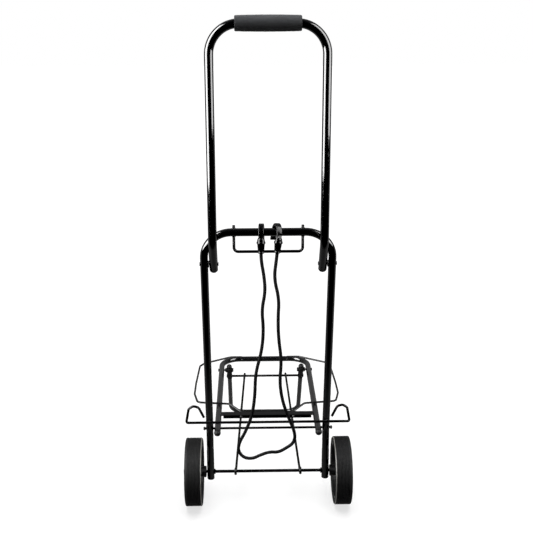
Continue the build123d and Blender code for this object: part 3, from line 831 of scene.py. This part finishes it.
def joints_detail():
    """Weld runs at the hook bar and the channel, and burrs and ears at the stirrup."""
    frame_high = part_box("main_frame_tube")[1]
    leg_x = frame_high.x - TUBE_RADIUS
    wire_low, wire_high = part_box("hook_bar")
    wire = (wire_high.y - wire_low.y) / 2
    rest_z = wire_low.z + wire
    touch_y = wire_high.y - BAR_WELD_BITE
    channel_low, channel_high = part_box("platform_channel")
    stirrup_low, stirrup_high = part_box("cord_bracket")
    cross_y = (stirrup_low.y + stirrup_high.y) / 2
    cross_z = frame_high.z - TUBE_RADIUS
    for side, sign in SIDES:
        x = sign * leg_x
        for level, rise in (("upper", 1), ("lower", -1)):
            z = rest_z + rise * wire * BAR_WELD_LIFT
            weld(f"{side}_bar_weld_{level}", (x - BAR_WELD_HALF, touch_y, z), (x + BAR_WELD_HALF, touch_y, z),
                 BAR_WELD_RADIUS, "main_frame", "wire_paint")
        edge = sign * (channel_high.x - CHANNEL_WELD_BITE)
        top = channel_high.z - CHANNEL_WELD_BITE
        near, far = channel_low.y + CHANNEL_WELD_GAP, channel_high.y - CHANNEL_WELD_GAP
        weld(f"{side}_channel_weld", (edge, near, top), (edge, far, top),
             CHANNEL_WELD_RADIUS, "platform", "platform_paint")
        wire_x = sign * (stirrup_high.x - STIRRUP_WIRE_RADIUS)
        for level, rise in (("upper", 1), ("lower", -1)):
            hole_z = cross_z + rise * (TUBE_RADIUS + BURR_LIFT)
            burr(f"{side}_stirrup_burr_{level}", (wire_x, cross_y, hole_z))
        ear(f"{side}_stirrup_ear", (wire_x, cross_y, cross_z - TUBE_RADIUS - EAR_DROP))


# ---- stage and light ----
def area_light(name, place, target, size, power):
    """Rectangular light of a width and height, turned to a target."""
    data = bpy.data.lights.new(name, "AREA")
    data.shape = "RECTANGLE"
    data.size, data.size_y = size
    data.energy = power
    light = bpy.data.objects.new(name, data)
    light.location = place
    light.rotation_euler = (Vector(target) - Vector(place)).to_track_quat("-Z", "Y").to_euler()
    bpy.context.scene.collection.objects.link(light)
    return light


def backdrop_world():
    """White for the camera; for reflections a pale sweep behind the object and a dim room in front."""
    world = bpy.data.worlds.new("studio_white")
    world.use_nodes = True
    tree = world.node_tree
    shown = tree.nodes["Background"]
    shown.inputs["Color"].default_value = (1.0, 1.0, 1.0, 1.0)
    room = tree.nodes.new("ShaderNodeBackground")
    way = tree.nodes.new("ShaderNodeTexCoord")
    split = tree.nodes.new("ShaderNodeSeparateXYZ")
    sweep = tree.nodes.new("ShaderNodeMapRange")
    sweep.inputs["From Min"].default_value, sweep.inputs["From Max"].default_value = ROOM_EDGE
    sweep.inputs["To Min"].default_value = ROOM_DIM
    sweep.inputs["To Max"].default_value = ROOM_BACK
    rays = tree.nodes.new("ShaderNodeLightPath")
    mix = tree.nodes.new("ShaderNodeMixShader")
    tree.links.new(way.outputs["Generated"], split.inputs["Vector"])
    tree.links.new(split.outputs["Y"], sweep.inputs["Value"])
    tree.links.new(sweep.outputs["Result"], room.inputs["Strength"])
    tree.links.new(rays.outputs["Is Camera Ray"], mix.inputs["Fac"])
    tree.links.new(room.outputs["Background"], mix.inputs[1])
    tree.links.new(shown.outputs["Background"], mix.inputs[2])
    tree.links.new(mix.outputs["Shader"], tree.nodes["World Output"].inputs["Surface"])
    return world


def map_range(shader, value, start, end, low, high):
    """Value taken from the range start to end into the range low to high."""
    values = {"Value": value, "From Min": start, "From Max": end, "To Min": low, "To Max": high}
    return shader.node("ShaderNodeMapRange", values).outputs["Result"]


def floor_material():
    """White paper, lit near the object and glowing evenly farther off. Reflections see it dim in front."""
    shader = Shader("floor_paper", Roughness=0.9, Specular_IOR_Level=0.1)
    material = shader.link(Base_Color=shader.ramp(shader.noise(3.0), [(0.3, 0.9), (0.7, 0.92)]))
    glow = shader.node("ShaderNodeEmission", {"Strength": FLOOR_WHITE}).outputs["Emission"]
    away = shader.node("ShaderNodeVectorMath", {0: shader.place}, operation="LENGTH").outputs["Value"]
    spread = map_range(shader, away, *FLOOR_FADE, FLOOR_GLOW, 1.0)
    paper = shader.node("ShaderNodeMixShader", {"Fac": spread, 1: shader.bsdf.outputs["BSDF"], 2: glow})
    dark_tone = (FLOOR_DARK, FLOOR_DARK, FLOOR_DARK, 1.0)
    dark = shader.node("ShaderNodeBsdfDiffuse", {"Color": dark_tone}).outputs["BSDF"]
    depth = shader.node("ShaderNodeSeparateXYZ", {"Vector": shader.place}).outputs["Y"]
    reach = map_range(shader, depth, *FLOOR_EDGE, 0.0, FLOOR_SHINE)
    rays = shader.node("ShaderNodeLightPath").outputs["Is Camera Ray"]
    shown = shader.node("ShaderNodeMath", {0: rays, 1: reach}, operation="MAXIMUM").outputs["Value"]
    mixed = shader.node("ShaderNodeMixShader", {"Fac": shown, 1: dark, 2: paper.outputs["Shader"]})
    shader.tree.links.new(mixed.outputs["Shader"], shader.tree.nodes["Material Output"].inputs["Surface"])
    return material


def paper_floor():
    """Square of floor under the object."""
    mesh = bpy.data.meshes.new("floor")
    corners = [
        (-FLOOR_REACH, -FLOOR_REACH, 0),
        (FLOOR_REACH, -FLOOR_REACH, 0),
        (FLOOR_REACH, FLOOR_REACH, 0),
        (-FLOOR_REACH, FLOOR_REACH, 0),
    ]
    mesh.from_pydata(corners, [], [(0, 1, 2, 3)])
    floor = bpy.data.objects.new("floor", mesh)
    bpy.context.scene.collection.objects.link(floor)
    floor.data.materials.append(floor_material())


def soft_boxes():
    """Overhead box for even light, and a tall box each side whose white strips show in the gloss tubes."""
    overhead = area_light("overhead_box", OVERHEAD_PLACE, (0.0, 0.0, 0.0), (OVERHEAD_SIZE, OVERHEAD_SIZE),
                          OVERHEAD_POWER)
    overhead.visible_glossy = False
    for side, sign in SIDES:
        height = BOX_TOP - BOX_LOW[side]
        middle = (BOX_LOW[side] + BOX_TOP) / 2
        place = (sign * BOX_AWAY, BOX_AIM_Y - BOX_FRONT, middle)
        power = math.pi * BOX_GLARE[side] * BOX_WIDTH * height
        box = area_light(f"{side}_box", place, (0.0, BOX_AIM_Y, middle), (BOX_WIDTH, height), power)
        box.visible_diffuse = False


def studio():
    """White studio, shown with the darkest tones pulled down to black."""
    scene = bpy.context.scene
    scene.view_settings.view_transform = "Standard"
    scene.view_settings.use_curve_mapping = True
    scene.view_settings.curve_mapping.black_level = (BLACK_POINT, BLACK_POINT, BLACK_POINT)
    scene.view_settings.curve_mapping.update()
    scene.world = backdrop_world()
    paper_floor()
    soft_boxes()


camera()
elastic_cord()
dress_frame()
foam_grip()
for wheel_side, wheel_sign in SIDES:
    tyre(wheel_side, wheel_sign)
    boss_teeth(wheel_side, wheel_sign)
for wire_part, wire_body, wire_film in ENAMELLED:
    enamel_coat(wire_part, wire_body, wire_film)
foot_hinges()
joints_detail()
studio()
